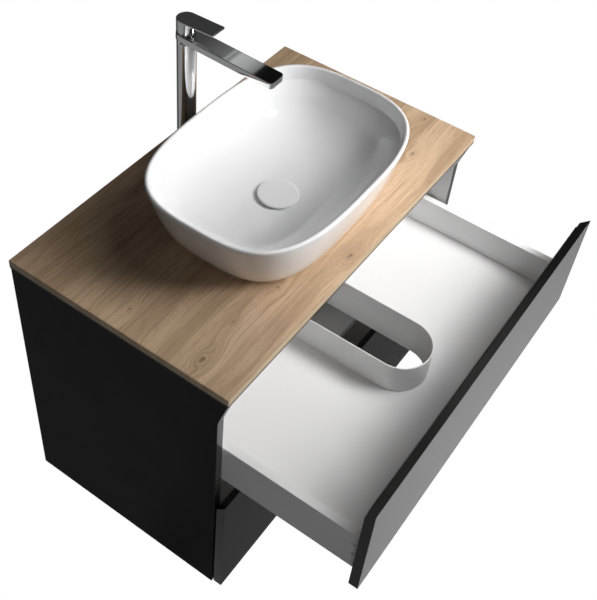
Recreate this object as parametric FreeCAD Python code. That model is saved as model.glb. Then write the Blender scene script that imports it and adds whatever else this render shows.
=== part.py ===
"""Wall-hung washbasin cabinet: two drawers, oak-look worktop, vessel basin and tall mixer tap.

Frame: X to the right, Y towards the wall, Z up, millimetres. The wall is the plane Y = 0.
The origin is the centre of the four wall screws. The upper drawer is drawn pulled out.
"""
import FreeCAD, Part
import math
import os

os.makedirs("parts", exist_ok=True)

V = FreeCAD.Vector
X_AXIS = V(1, 0, 0)
Z_AXIS = V(0, 0, 1)

# ---- Driving dimensions ---------------------------------------------------------------
WIDTH = 800.0             # worktop, left to right
DEPTH = 460.0             # worktop, front edge to wall
CABINET_HEIGHT = 600.0    # side panels, under the worktop
TOP_Z = 90.0              # worktop's upper face, above the wall screws

WORKTOP = 18.0            # board thicknesses
FRONT = 18.0
BOARD = 16.0
EDGING = 1.0

SIDE_INSET = 2.0          # side panel behind the worktop's end
FRONT_SETBACK = 20.0      # side panel's front edge behind the drawer fronts
FRONT_WIDTH = 789.0
NOSE_DROP = 80.0          # where the slanted nose meets the panel's front edge
NOSE_BACK = 1.7           # nose tip behind the worktop's front edge

UPPER_TOP, UPPER_BOTTOM = 61.4, 292.0     # drawer fronts, below the worktop's upper face
LOWER_TOP, LOWER_BOTTOM = 328.0, 618.0
UPPER_SIDE_TOP, UPPER_FLOOR_TOP = 179.0, 246.0
LOWER_SIDE_TOP, LOWER_FLOOR_TOP = 434.0, 556.0
UPPER_PULL = 268.0        # how far the upper drawer is out
DRAWER_LENGTH = 400.0
DRAWER_OUTER = 376.0      # outer face of a drawer side, from the centre line
DRAWER_SIDE = 15.0
FLOOR = 16.0
RECESS = 12.0             # drawer sides reach this far below the drawer floor
CUTOUT_R = 61.0           # siphon cut-out, half its width
COLLAR = 2.7
CUTOUT_BACK = 171.0       # centre of the cut-out's round end, behind the front

DRAIN_BACK = 195.0        # drain and tap, behind the worktop's front edge
TAP_BACK = 405.0
BASIN_HALF_X, BASIN_HALF_Y = 248.8, 174.2
FOOT_HALF_X, FOOT_HALF_Y = 186.0, 133.0
RIM_HEIGHT = 125.0
SQUARENESS = 3.12         # exponent of the basin's rounded-rectangle outline
SEALANT = 1.5

TAP_R = 17.5              # column
SPOUT_R = 18.5            # half the spout's width
SPOUT_REACH = 191.0       # tap axis to spout tip
SPOUT_TOP = 270.0         # above the worktop, at the tap's axis
SPOUT_THICK = 12.5
SPOUT_SLOPE = 1.8         # degrees down towards the tip
LEVER_TOP = 298.0
LEVER_REACH = 68.0


# ---- Helpers --------------------------------------------------------------------------
def level(depth):
    """Z of a point that is depth below the worktop's upper face."""
    return TOP_Z - depth


def behind(distance):
    """Y of a point that is distance behind the worktop's front edge."""
    return distance - DEPTH


def block(x, y, z):
    """Box between the two ends given for each axis."""
    size = [abs(b - a) for a, b in (x, y, z)]
    return Part.makeBox(*size, V(min(x), min(y), min(z)))


def rod(radius, start, end):
    """Solid cylinder from one point to another."""
    along = end - start
    return Part.makeCylinder(radius, along.Length, start, along)


def ring(outer, inner, start, end):
    return rod(outer, start, end).cut(rod(inner, start, end))


def turned(profile, axis_x, axis_y):
    """Revolve a closed outline of (radius, z) points about a vertical axis."""
    points = [V(axis_x + r, axis_y, z) for r, z in profile]
    face = Part.Face(Part.makePolygon(points + points[:1]))
    return face.revolve(V(axis_x, axis_y, 0), Z_AXIS, 360)


def plate_yz(points, x_from, x_to):
    """Extrude a closed outline of (y, z) points along X."""
    corners = [V(x_from, y, z) for y, z in points]
    face = Part.Face(Part.makePolygon(corners + corners[:1]))
    return face.extrude(V(x_to - x_from, 0, 0))


def plate_xz(points, y_from, y_to):
    """Extrude a closed outline of (x, z) points along Y."""
    corners = [V(x, y_from, z) for x, z in points]
    face = Part.Face(Part.makePolygon(corners + corners[:1]))
    return face.extrude(V(0, y_to - y_from, 0))


def mirrored(shape):
    return shape.mirror(V(0, 0, 0), X_AXIS)


def both_sides(shape):
    return [shape, mirrored(shape)]


def group(solids):
    return Part.makeCompound(solids)


def slid(shape, y):
    moved = shape.copy()
    moved.translate(V(0, y, 0))
    return moved


def cut_all(shape, tools):
    for tool in tools:
        shape = shape.cut(tool)
    return shape


def save(name, shape):
    solids = shape.Solids
    kept = solids[0] if len(solids) == 1 else Part.makeCompound(solids)
    kept.exportStep("parts/" + name + ".step")
    print(name, len(solids), "valid" if kept.isValid() else "INVALID", round(kept.Volume / 1000, 1))


# ---- Worktop --------------------------------------------------------------------------
HALF = WIDTH / 2
WORKTOP_UNDER = level(WORKTOP)
DRAIN = V(0, behind(DRAIN_BACK), 0)
TAP = V(0, behind(TAP_BACK), 0)
DRAIN_HOLE_R = 24.0
TAP_HOLE_R = 17.5
SCREW_X, SCREW_Y = 300.0, (behind(45), behind(85))
SCREW_HEAD_R, SCREW_HEAD = 4.0, 2.5
SCREW_SHANK_R, SCREW_BITE = 2.0, 11.0     # bite is the length inside the worktop
RAIL_SPAN = (behind(22), behind(102))


def at(point, z):
    return V(point.x, point.y, z)


def worktop_screw(x, y):
    """Pan-head wood screw driven up through the front rail into the worktop."""
    rail_under = WORKTOP_UNDER - BOARD
    head = rod(SCREW_HEAD_R, V(x, y, rail_under - SCREW_HEAD), V(x, y, rail_under))
    shank = rod(SCREW_SHANK_R, V(x, y, rail_under), V(x, y, WORKTOP_UNDER + SCREW_BITE))
    return head.fuse(shank)


worktop_screws = [worktop_screw(x, y) for x in (-SCREW_X, SCREW_X) for y in SCREW_Y]

board_x = (-HALF + EDGING, HALF - EDGING)
worktop = block(board_x, (-DEPTH + EDGING, 0), (WORKTOP_UNDER, TOP_Z))
worktop = cut_all(worktop, [rod(DRAIN_HOLE_R, at(DRAIN, WORKTOP_UNDER - 1), at(DRAIN, TOP_Z + 1)),
                            rod(TAP_HOLE_R, at(TAP, WORKTOP_UNDER - 1), at(TAP, TOP_Z + 1))])
worktop = cut_all(worktop, worktop_screws)
front_edging = block((-HALF, HALF), (-DEPTH, -DEPTH + EDGING), (WORKTOP_UNDER, TOP_Z))
end_edging = block((HALF - EDGING, HALF), (-DEPTH + EDGING, 0), (WORKTOP_UNDER, TOP_Z))
save("worktop", worktop)
save("worktop_edging", group([front_edging] + both_sides(end_edging)))

# ---- Carcass --------------------------------------------------------------------------
PANEL_OUT = HALF - SIDE_INSET
PANEL_IN = PANEL_OUT - BOARD
CARCASS_BOTTOM = level(WORKTOP + CABINET_HEIGHT)
RAIL_BACK_Y = (-36.0, -20.0)
CAM_R, CAM_DEPTH = 7.5, 12.0
CAM_IN = 34.0             # cam lock's centre from the end of its board
CAM_SLOT_HALF, CAM_SLOT_WIDE, CAM_SLOT_DEEP = 4.0, 0.8, 2.0
PANEL_BACK = -20.0        # back edge of the bottom panel
DIVIDER_DEPTH = 310.0     # divider rail's upper face, below the worktop's upper face
TOP_RAIL_TALL, BOTTOM_RAIL_TALL = 100.0, 80.0
NOTCH_HALF, NOTCH_DEEP = 60.0, 60.0       # room for the tap's tail in the top back rail

side_outline = [(behind(FRONT_SETBACK), CARCASS_BOTTOM),
                (behind(FRONT_SETBACK), level(NOSE_DROP)),
                (behind(NOSE_BACK), WORKTOP_UNDER),
                (0, WORKTOP_UNDER),
                (0, CARCASS_BOTTOM)]
side_panel = plate_yz(side_outline, PANEL_IN, PANEL_OUT)

inner_x = (-PANEL_IN, PANEL_IN)
bottom_panel = block(inner_x, (behind(FRONT_SETBACK), PANEL_BACK), (CARCASS_BOTTOM, CARCASS_BOTTOM + BOARD))
top_front_rail = block(inner_x, RAIL_SPAN, (WORKTOP_UNDER - BOARD, WORKTOP_UNDER))
DIVIDER_TOP = level(DIVIDER_DEPTH)
divider_span = (behind(46), behind(166))
divider_rail = block(inner_x, divider_span, (DIVIDER_TOP - BOARD, DIVIDER_TOP))
top_back_rail = block(inner_x, RAIL_BACK_Y, (WORKTOP_UNDER - TOP_RAIL_TALL, WORKTOP_UNDER))
tap_notch = block((-NOTCH_HALF, NOTCH_HALF), (RAIL_BACK_Y[0] - 1, RAIL_BACK_Y[1] + 1),
                  (WORKTOP_UNDER - NOTCH_DEEP, WORKTOP_UNDER + 1))
top_back_rail = top_back_rail.cut(tap_notch)
rail_foot = CARCASS_BOTTOM + BOARD
bottom_back_rail = block(inner_x, RAIL_BACK_Y, (rail_foot, rail_foot + BOTTOM_RAIL_TALL))


def cam(x, y, under):
    """Cam lock housing set flush into the underside of a board, with its cross slot."""
    body = rod(CAM_R, V(x, y, under), V(x, y, under + CAM_DEPTH))
    slots = []
    for reach_x, reach_y in ((CAM_SLOT_HALF, CAM_SLOT_WIDE), (CAM_SLOT_WIDE, CAM_SLOT_HALF)):
        slots.append(block((x - reach_x, x + reach_x), (y - reach_y, y + reach_y),
                           (under - 1, under + CAM_SLOT_DEEP)))
    return cut_all(body, slots)


def cams_for(span, under):
    ys = (span[0] + 20, span[1] - 20)
    return [cam(side * (PANEL_IN - CAM_IN), y, under) for side in (-1, 1) for y in ys]


def cam_pocket(one):
    box = one.BoundBox
    centre_x, centre_y = box.Center.x, box.Center.y
    return rod(CAM_R, V(centre_x, centre_y, box.ZMin - 1), V(centre_x, centre_y, box.ZMax))


rail_cams = cams_for(RAIL_SPAN, WORKTOP_UNDER - BOARD)
divider_cams = cams_for(divider_span, DIVIDER_TOP - BOARD)
bottom_cams = cams_for((behind(60), behind(400)), CARCASS_BOTTOM)
top_front_rail = cut_all(top_front_rail, worktop_screws + [cam_pocket(c) for c in rail_cams])
divider_rail = cut_all(divider_rail, [cam_pocket(c) for c in divider_cams])
bottom_panel = cut_all(bottom_panel, [cam_pocket(c) for c in bottom_cams])

save("side_panel_right", side_panel)
save("side_panel_left", mirrored(side_panel))
save("bottom_panel", bottom_panel)
save("top_front_rail", top_front_rail)
save("top_back_rail", top_back_rail)
save("divider_rail", divider_rail)
save("bottom_back_rail", bottom_back_rail)
save("cam_locks", group(rail_cams + divider_cams + bottom_cams))
save("worktop_screws", group(worktop_screws))

# ---- Wall plates and the hooks that hang on them ---------------------------------------
PLATE_X = 350.0
PLATE_HALF = 25.0
SCREW_RISE = 16.0         # each wall screw above or below the row's centre
STEEL = 2.5
PLATE_TALL = 30.0         # half the wall plate's height
STAND_OFF = 7.5           # back of the plate's tongue from the wall
TONGUE_TOP = 47.5
HOOK_FACE = 20.0          # hook's back plate, against the back rail
HOOK_TOP = 50.0
HOOK_LIP = 34.0           # lower end of the hook's lip, behind the tongue
WALL_HOLE_R = 3.5
plate_x = (PLATE_X - PLATE_HALF, PLATE_X + PLATE_HALF)
plate_outline = [(0, -PLATE_TALL), (0, PLATE_TALL), (-STAND_OFF, PLATE_TALL), (-STAND_OFF, TONGUE_TOP),
                 (-STAND_OFF - STEEL, TONGUE_TOP), (-STAND_OFF - STEEL, PLATE_TALL - STEEL),
                 (-STEEL, PLATE_TALL - STEEL), (-STEEL, -PLATE_TALL)]
wall_plate = plate_yz(plate_outline, *plate_x)
holes = [rod(WALL_HOLE_R, V(PLATE_X, -2 * STEEL, z), V(PLATE_X, STEEL, z)) for z in (-SCREW_RISE, SCREW_RISE)]
wall_plate = cut_all(wall_plate, holes)
lip_back, lip_front = STAND_OFF - 4, STAND_OFF - 1.5
hook_outline = [(-HOOK_FACE, 0), (-HOOK_FACE, HOOK_TOP), (-lip_back, HOOK_TOP), (-lip_back, HOOK_LIP),
                (-lip_front, HOOK_LIP), (-lip_front, TONGUE_TOP), (-HOOK_FACE + STEEL, TONGUE_TOP),
                (-HOOK_FACE + STEEL, 0)]
hook = plate_yz(hook_outline, *plate_x)
save("wall_plates", group(both_sides(wall_plate)))
save("hanger_hooks", group(both_sides(hook)))


# ---- Basin ----------------------------------------------------------------------------
FOOT_Z = TOP_Z + SEALANT
BOWL_FLOOR = 14.0         # bowl's lowest point above the worktop
DRAIN_BORE_R = 22.5
FOOT_RIM, RELIEF = 14.0, 3.0              # foot ring's width, and the hollow inside it


def outline(half_x, half_y, z):
    """Closed smooth curve, a rounded rectangle with slightly bowed sides."""
    points = []
    steps = 36            # points round the curve
    for i in range(steps):
        angle = 2 * math.pi * i / steps
        c, s = abs(math.cos(angle)) / half_x, abs(math.sin(angle)) / half_y
        reach = (c ** SQUARENESS + s ** SQUARENESS) ** (-1 / SQUARENESS)
        points.append(V(DRAIN.x + reach * math.cos(angle), DRAIN.y + reach * math.sin(angle), z))
    curve = Part.BSplineCurve()
    curve.interpolate(points, PeriodicFlag=True)
    return Part.Wire(curve.toShape())


def flare(height):
    """Half sizes of the basin's outside at a height above the worktop."""
    share = math.sqrt(height / RIM_HEIGHT)
    return (FOOT_HALF_X + (BASIN_HALF_X - FOOT_HALF_X) * share,
            FOOT_HALF_Y + (BASIN_HALF_Y - FOOT_HALF_Y) * share)


def loft(sections):
    return Part.makeLoft(sections, True, False)


outer_heights = (SEALANT, 12, 30, 60, 95, RIM_HEIGHT)
outer_sections = [outline(*flare(h), TOP_Z + h) for h in outer_heights]
# Height above the worktop, and how far inside the rim's outer edge the bowl's surface is there.
bowl_steps = ((BOWL_FLOOR, 137), (17, 126), (26, 92), (42, 60), (62, 38), (88, 19.5), (97, 12.5),
              (RIM_HEIGHT + 0.5, 7.5))
inner_sections = []
for h, inward in bowl_steps:
    inner_sections.append(outline(BASIN_HALF_X - inward, BASIN_HALF_Y - inward, TOP_Z + h))
basin = loft(outer_sections).cut(loft(inner_sections))
basin = basin.cut(rod(DRAIN_BORE_R, at(DRAIN, FOOT_Z - 1), at(DRAIN, TOP_Z + RIM_HEIGHT)))
underside = loft([outline(FOOT_HALF_X - FOOT_RIM, FOOT_HALF_Y - FOOT_RIM, FOOT_Z - 1),
                  outline(FOOT_HALF_X - FOOT_RIM - 4, FOOT_HALF_Y - FOOT_RIM - 4, FOOT_Z + RELIEF)])
underside = underside.cut(rod(DRAIN_BORE_R + FOOT_RIM, at(DRAIN, FOOT_Z - 2), at(DRAIN, FOOT_Z + RELIEF + 1)))
basin = basin.cut(underside)
save("basin", basin)

bead_out = Part.Face(outline(FOOT_HALF_X + 2, FOOT_HALF_Y + 2, TOP_Z)).extrude(V(0, 0, SEALANT))
bead_in = Part.Face(outline(FOOT_HALF_X - 8, FOOT_HALF_Y - 8, TOP_Z - 1)).extrude(V(0, 0, SEALANT + 2))
save("basin_sealant", bead_out.cut(bead_in))

# ---- Waste and its cap -----------------------------------------------------------------
WASTE_R = 20.6
WASTE_BORE = 17.0
FLANGE_TOP = TOP_Z + BOWL_FLOOR + 2.5
WASTE_END = level(62)
GUIDE_R = 4.3
CAP_GAP = 0.4             # between the flange and the closed cap
CAP_R = 38.0

waste_body = turned([(WASTE_BORE, WASTE_END), (WASTE_R, WASTE_END), (WASTE_R, TOP_Z + BOWL_FLOOR),
                     (31, TOP_Z + BOWL_FLOOR), (31, FLANGE_TOP - 1), (30, FLANGE_TOP),
                     (WASTE_BORE + 3, FLANGE_TOP), (WASTE_BORE, FLANGE_TOP - 3)], DRAIN.x, DRAIN.y)
spider = block((-WASTE_BORE - 1, WASTE_BORE + 1), (DRAIN.y - 3, DRAIN.y + 3), (TOP_Z - 12, TOP_Z - 4))
hub = rod(7.0, at(DRAIN, TOP_Z - 14), at(DRAIN, TOP_Z - 2))
guide_hole = rod(GUIDE_R, at(DRAIN, TOP_Z - 20), at(DRAIN, TOP_Z + 5))
waste_body = waste_body.fuse(spider.fuse(hub)).cut(guide_hole).removeSplitter()
save("waste_body", waste_body)

cap_under = FLANGE_TOP + CAP_GAP
cap_profile = [(0, cap_under), (CAP_R - 1.5, cap_under), (CAP_R, cap_under + 1.5),
               (CAP_R, cap_under + 3), (CAP_R - 1.5, cap_under + 4.4), (CAP_R - 8, cap_under + 5.2),
               (CAP_R - 20, cap_under + 5.8), (0, cap_under + 6.0)]
save("waste_cap", turned(cap_profile, DRAIN.x, DRAIN.y))
save("waste_plunger", rod(GUIDE_R - 0.3, at(DRAIN, TOP_Z - 24), at(DRAIN, cap_under)))

washer_under = WORKTOP_UNDER - 3
save("waste_washer", ring(31, WASTE_R + 0.2, at(DRAIN, washer_under), at(DRAIN, WORKTOP_UNDER)))


def hexagon(across_flats, hole_r, centre, z_from, z_to):
    """Hexagonal nut with a round hole."""
    reach = across_flats / math.sqrt(3)
    corners = []
    for i in range(7):
        angle = math.radians(60 * i)
        corners.append(V(centre.x + reach * math.cos(angle), centre.y + reach * math.sin(angle), z_from))
    nut = Part.Face(Part.makePolygon(corners)).extrude(V(0, 0, z_to - z_from))
    return nut.cut(rod(hole_r, at(centre, z_from - 1), at(centre, z_to + 1)))


save("waste_locknut", hexagon(54, WASTE_R + 0.1, DRAIN, washer_under - 10, washer_under))

# ---- Bottle trap -----------------------------------------------------------------------
PIPE_R, PIPE_BORE = 16.0, 14.2
NECK_R = 20.6
TRAP_R, TRAP_WALL = 30.0, 2.5
NECK_TOP = level(150)
TRAP_SHOULDER = level(165)
TRAP_JOINT = level(235)
TRAP_END = level(268)
OUTLET_Z = level(190)
NUT_LENGTH, NUT_THREAD = 18.0, 11.0
OUTLET_ENTRY = 16.0       # outlet tube's length inside the trap's stub
SPIGOT = 40.0             # plain end that pushes into the drain in the wall
BEAD_R, BEAD = 18.0, 2.5  # stop bead round the tube, at the inner end of the spigot

inlet_tube = turned([(PIPE_BORE, level(225)), (PIPE_R, level(225)), (PIPE_R, WASTE_END - 3),
                     (NECK_R - 0.8, WASTE_END - 3), (NECK_R - 0.8, WASTE_END), (PIPE_BORE, WASTE_END)],
                    DRAIN.x, DRAIN.y)
save("trap_inlet_tube", inlet_tube)

neck_bore = PIPE_R + 0.2
trap_body = turned([(neck_bore, NECK_TOP), (NECK_R, NECK_TOP), (NECK_R, TRAP_SHOULDER),
                    (TRAP_R - 3, TRAP_SHOULDER), (TRAP_R, TRAP_SHOULDER - 3), (TRAP_R, TRAP_JOINT),
                    (TRAP_R - TRAP_WALL, TRAP_JOINT), (TRAP_R - TRAP_WALL, TRAP_SHOULDER - 4),
                    (neck_bore, TRAP_SHOULDER - 4)], DRAIN.x, DRAIN.y)
stub_end = DRAIN.y + TRAP_R + 22
outlet_axis = V(0, DRAIN.y, OUTLET_Z)
stub = rod(NECK_R, outlet_axis + V(0, TRAP_R - 8, 0), V(0, stub_end, OUTLET_Z))
stub_bore = rod(neck_bore, outlet_axis + V(0, TRAP_R - 12, 0), V(0, stub_end + 1, OUTLET_Z))
stub = stub.cut(rod(TRAP_R - 1, at(DRAIN, TRAP_JOINT), at(DRAIN, TRAP_SHOULDER)))
trap_body = trap_body.fuse(stub).cut(stub_bore).removeSplitter()
save("trap_body", trap_body)

save("trap_cup", turned([(0, TRAP_END), (22, TRAP_END), (27, TRAP_END + 6), (TRAP_R, TRAP_END + 14),
                         (TRAP_R, TRAP_JOINT), (TRAP_R - TRAP_WALL, TRAP_JOINT),
                         (TRAP_R - TRAP_WALL, TRAP_END + 15), (22, TRAP_END + TRAP_WALL + 2),
                         (0, TRAP_END + TRAP_WALL)], DRAIN.x, DRAIN.y))
outlet_tube = ring(PIPE_R, PIPE_BORE, V(0, stub_end - OUTLET_ENTRY, OUTLET_Z), V(0, 0, OUTLET_Z))
bead_y = -SPIGOT
stop_bead = ring(BEAD_R, PIPE_BORE, V(0, bead_y - BEAD, OUTLET_Z), V(0, bead_y, OUTLET_Z))
save("trap_outlet_tube", outlet_tube.fuse(stop_bead).removeSplitter())


def slip_nut():
    """Slip nut standing on the origin: thread below, pipe hole above."""
    shell = turned([(NECK_R + 0.1, 0), (NECK_R + 4.5, 0), (NECK_R + 4.5, NUT_LENGTH - 2),
                    (NECK_R + 2.5, NUT_LENGTH), (PIPE_R + 0.2, NUT_LENGTH),
                    (PIPE_R + 0.2, NUT_THREAD), (NECK_R + 0.1, NUT_THREAD)], 0, 0)
    grips = []
    for i in range(12):
        angle = math.radians(30 * i)
        foot = V((NECK_R + 5.2) * math.cos(angle), (NECK_R + 5.2) * math.sin(angle), -1)
        grips.append(rod(1.6, foot, foot + V(0, 0, NUT_LENGTH + 2)))
    return cut_all(shell, grips)


def placed(shape, axis, degrees, where):
    moved = shape.copy()
    moved.rotate(V(0, 0, 0), axis, degrees)
    moved.translate(where)
    return moved


top_nut = placed(slip_nut(), X_AXIS, 180, at(DRAIN, WASTE_END - 3 + NUT_THREAD))
body_nut = placed(slip_nut(), X_AXIS, 0, at(DRAIN, NECK_TOP - NUT_THREAD))
outlet_nut = placed(slip_nut(), X_AXIS, -90, V(0, stub_end - NUT_THREAD, OUTLET_Z))
save("trap_slip_nuts", group([top_nut, body_nut, outlet_nut]))

# ---- Tap ------------------------------------------------------------------------------
GASKET = 1.5
COLUMN_FOOT = TOP_Z + GASKET
CHAMBER_R = 13.5
CHAMBER_FLOOR = TOP_Z + 232
HEAD = TOP_Z + SPOUT_TOP
SHANK_R, SHANK_BORE = 15.0, 12.0
SHANK_END = level(75)
AERATOR_R = 10.0
AERATOR_BACK = 15.0       # aerator's centre behind the spout's tip
TIP_R = 7.0


def spout_bar():
    """Flat bar with a round back end and rounded tip corners, level, top face at Z = 0."""
    half, reach, corner = SPOUT_R, SPOUT_REACH, TIP_R
    diag = corner * math.sqrt(0.5)
    left_mid = V(-half + corner - diag, -reach + corner - diag, 0)
    right_mid = V(half - corner + diag, -reach + corner - diag, 0)
    edges = [Part.LineSegment(V(-half, 0, 0), V(-half, -reach + corner, 0)).toShape(),
             Part.Arc(V(-half, -reach + corner, 0), left_mid, V(-half + corner, -reach, 0)).toShape(),
             Part.LineSegment(V(-half + corner, -reach, 0), V(half - corner, -reach, 0)).toShape(),
             Part.Arc(V(half - corner, -reach, 0), right_mid, V(half, -reach + corner, 0)).toShape(),
             Part.LineSegment(V(half, -reach + corner, 0), V(half, 0, 0)).toShape(),
             Part.Arc(V(half, 0, 0), V(0, half, 0), V(-half, 0, 0)).toShape()]
    return Part.Face(Part.Wire(edges)).extrude(V(0, 0, -SPOUT_THICK))


def on_spout(shape):
    """Lay a shape drawn on a level bar onto the sloping spout."""
    return placed(shape, X_AXIS, SPOUT_SLOPE, at(TAP, HEAD))


aerator_y = -SPOUT_REACH + AERATOR_BACK
aerator_top = -SPOUT_THICK + 8
aerator_seat = rod(AERATOR_R + 0.2, V(0, aerator_y, -SPOUT_THICK - 1), V(0, aerator_y, aerator_top))
waterway = rod(3.5, V(0, -CHAMBER_R + 2, -6.5), V(0, aerator_y, -6.5))
bar = spout_bar().cut(aerator_seat).cut(waterway)

column = rod(TAP_R, at(TAP, COLUMN_FOOT), at(TAP, HEAD - 6))
collar_top = rod(SPOUT_R, at(TAP, HEAD - SPOUT_THICK), at(TAP, HEAD))
tap_body = column.fuse(collar_top).fuse(on_spout(bar))
chamber = rod(CHAMBER_R, at(TAP, CHAMBER_FLOOR), at(TAP, HEAD + 2))
nut_face = rod(SPOUT_R - 2, at(TAP, HEAD), at(TAP, HEAD + 2))
hose_bore = rod(SHANK_BORE, at(TAP, COLUMN_FOOT - 1), at(TAP, CHAMBER_FLOOR - 7))
shank_seat = rod(SHANK_R, at(TAP, COLUMN_FOOT - 1), at(TAP, COLUMN_FOOT + 20))
passages = [rod(3.0, TAP + V(x, 0, CHAMBER_FLOOR - 8), TAP + V(x, 0, CHAMBER_FLOOR + 1)) for x in (-6, 6)]
tap_body = cut_all(tap_body, [chamber, nut_face, hose_bore, shank_seat] + passages)
save("tap_body", tap_body.removeSplitter())

save("tap_aerator", on_spout(ring(AERATOR_R, 7.5, V(0, aerator_y, -SPOUT_THICK + 0.3),
                                  V(0, aerator_y, aerator_top - 0.5))
                             .fuse(rod(7.6, V(0, aerator_y, -SPOUT_THICK + 1.5),
                                       V(0, aerator_y, aerator_top - 1)))))

ring_top = COLUMN_FOOT + 5.5
save("tap_base_ring", turned([(TAP_R + 0.1, COLUMN_FOOT), (24, COLUMN_FOOT), (24, ring_top - 1.5),
                              (22.5, ring_top), (TAP_R + 0.1, ring_top)], TAP.x, TAP.y))
save("tap_gasket", ring(24, SHANK_R + 0.5, at(TAP, TOP_Z), at(TAP, COLUMN_FOOT)))
save("tap_shank", ring(SHANK_R, SHANK_BORE, at(TAP, SHANK_END), at(TAP, COLUMN_FOOT + 20)))
save("tap_clamp_washer", ring(23, SHANK_R + 0.3, at(TAP, WORKTOP_UNDER - 3), at(TAP, WORKTOP_UNDER)))
save("tap_locknut", hexagon(38, SHANK_R + 0.1, TAP, WORKTOP_UNDER - 13, WORKTOP_UNDER - 3))
inlet_block = rod(SHANK_BORE, at(TAP, SHANK_END), at(TAP, SHANK_END + 20))
inlets = [rod(5.0, TAP + V(x, 0, SHANK_END - 1), TAP + V(x, 0, SHANK_END + 21)) for x in (-5.8, 5.8)]
save("tap_inlet_block", cut_all(inlet_block, inlets))

CART_R = 13.2
ROTOR_R = 8.6
cart_top = HEAD - 6
cartridge = turned([(0, CHAMBER_FLOOR), (CART_R, CHAMBER_FLOOR), (CART_R, cart_top),
                    (ROTOR_R + 0.4, cart_top), (ROTOR_R + 0.4, cart_top - 6), (0, cart_top - 6)],
                   TAP.x, TAP.y)
save("tap_cartridge", cartridge)
save("tap_cartridge_nut", turned([(ROTOR_R + 0.5, cart_top), (CHAMBER_R - 0.1, cart_top),
                                  (CHAMBER_R - 0.1, HEAD), (14.5, HEAD), (14.5, HEAD + 4),
                                  (ROTOR_R + 0.5, HEAD + 4)], TAP.x, TAP.y))
rotor = rod(ROTOR_R, at(TAP, cart_top - 5.7), at(TAP, HEAD + 6))
rotor = rotor.cut(block((-3.7, 3.7), (TAP.y - 7.6, TAP.y + 5.4), (cart_top - 2, HEAD + 7)))
save("tap_cartridge_rotor", rotor)

# ---- Tap lever ------------------------------------------------------------------------
LEVER_R = 18.0
SKIRT_BORE = 15.6
PLATE_THICK = 4.0
LEVER_RISE = 2.0          # degrees up towards the tip
skirt_top = TOP_Z + LEVER_TOP - PLATE_THICK
skirt_front, skirt_rear = HEAD + 2.0, HEAD + 5.5


def lever_plate():
    """Flat handle with a round back end, seen from above, cut to a slightly rising slab."""
    edges = [Part.LineSegment(V(-LEVER_R, 0, 0), V(-LEVER_R + 1, -LEVER_REACH, 0)).toShape(),
             Part.LineSegment(V(-LEVER_R + 1, -LEVER_REACH, 0), V(LEVER_R - 1, -LEVER_REACH, 0)).toShape(),
             Part.LineSegment(V(LEVER_R - 1, -LEVER_REACH, 0), V(LEVER_R, 0, 0)).toShape(),
             Part.Arc(V(LEVER_R, 0, 0), V(0, LEVER_R, 0), V(-LEVER_R, 0, 0)).toShape()]
    plan = Part.Face(Part.Wire(edges)).extrude(V(0, 0, 20))
    plan.translate(at(TAP, skirt_top - 10))
    rear, tip = TAP.y + LEVER_R + 2, TAP.y - LEVER_REACH - 2
    rise = (rear - tip) * math.tan(math.radians(LEVER_RISE))
    slab = plate_yz([(rear, skirt_top), (tip, skirt_top + rise), (tip, skirt_top + rise + PLATE_THICK),
                     (rear, skirt_top + PLATE_THICK)], -20, 20)
    return plan.common(slab)


skirt = rod(LEVER_R, at(TAP, HEAD), at(TAP, skirt_top + 2))
wedge = plate_yz([(TAP.y - 20, HEAD - 1), (TAP.y - 20, skirt_front), (TAP.y + 20, skirt_rear),
                  (TAP.y + 20, HEAD - 1)], -20, 20)
skirt_hollow = rod(SKIRT_BORE, at(TAP, HEAD - 1), at(TAP, skirt_top - 1))
boss = rod(6.0, at(TAP, HEAD + 12), at(TAP, skirt_top))
rib = block((-4.5, 4.5), (TAP.y, TAP.y + SKIRT_BORE + 0.5), (HEAD + 12, skirt_top))
lever = skirt.cut(wedge).cut(skirt_hollow).fuse(boss).fuse(rib).fuse(lever_plate())
STEM = 3.0
stem_seat = block((-STEM, STEM), (TAP.y - STEM, TAP.y + STEM), (HEAD + 11, HEAD + 20))
screw_z = HEAD + 16
screw_hole = rod(2.5, V(0, TAP.y + STEM, screw_z), V(0, TAP.y + LEVER_R + 1, screw_z))
lever = lever.cut(stem_seat).cut(screw_hole).removeSplitter()
save("tap_lever", lever)
save("tap_stem", block((-STEM, STEM), (TAP.y - STEM, TAP.y + STEM), (cart_top - 1, HEAD + 20)))
lever_screw = rod(2.5, V(0, TAP.y + STEM, screw_z), V(0, TAP.y + STEM + 7, screw_z))
hex_socket = rod(1.3, V(0, TAP.y + STEM + 4, screw_z), V(0, TAP.y + STEM + 8, screw_z))
save("tap_lever_screw", lever_screw.cut(hex_socket))


# ---- Drawers --------------------------------------------------------------------------
SLOTS = ((22.0, 9.0), (53.0, 4.0))        # depth below the side's top, and height
SLOT_Y = (8.0, 17.0)      # behind the front's inner face
SLOT_DEPTH = 9.0
STRIP = 1.6               # light grip strip's thickness, height and half its length
STRIP_HEIGHT = 12.0
STRIP_HALF = 380.0
BRACKET_IN = 5.0          # fixing's face inside the slot's mouth
side_in = DRAWER_OUTER - DRAWER_SIDE
box_front = behind(FRONT)
box_back = behind(FRONT + DRAWER_LENGTH)


def bevelled_front(top, bottom):
    """Drawer front with its whole upper edge cut at 45 degrees as a grip."""
    outline_yz = [(behind(0), level(top)), (behind(FRONT), level(top + FRONT)),
                  (behind(FRONT), level(bottom)), (behind(0), level(bottom))]
    return plate_yz(outline_yz, -FRONT_WIDTH / 2, FRONT_WIDTH / 2)


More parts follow.
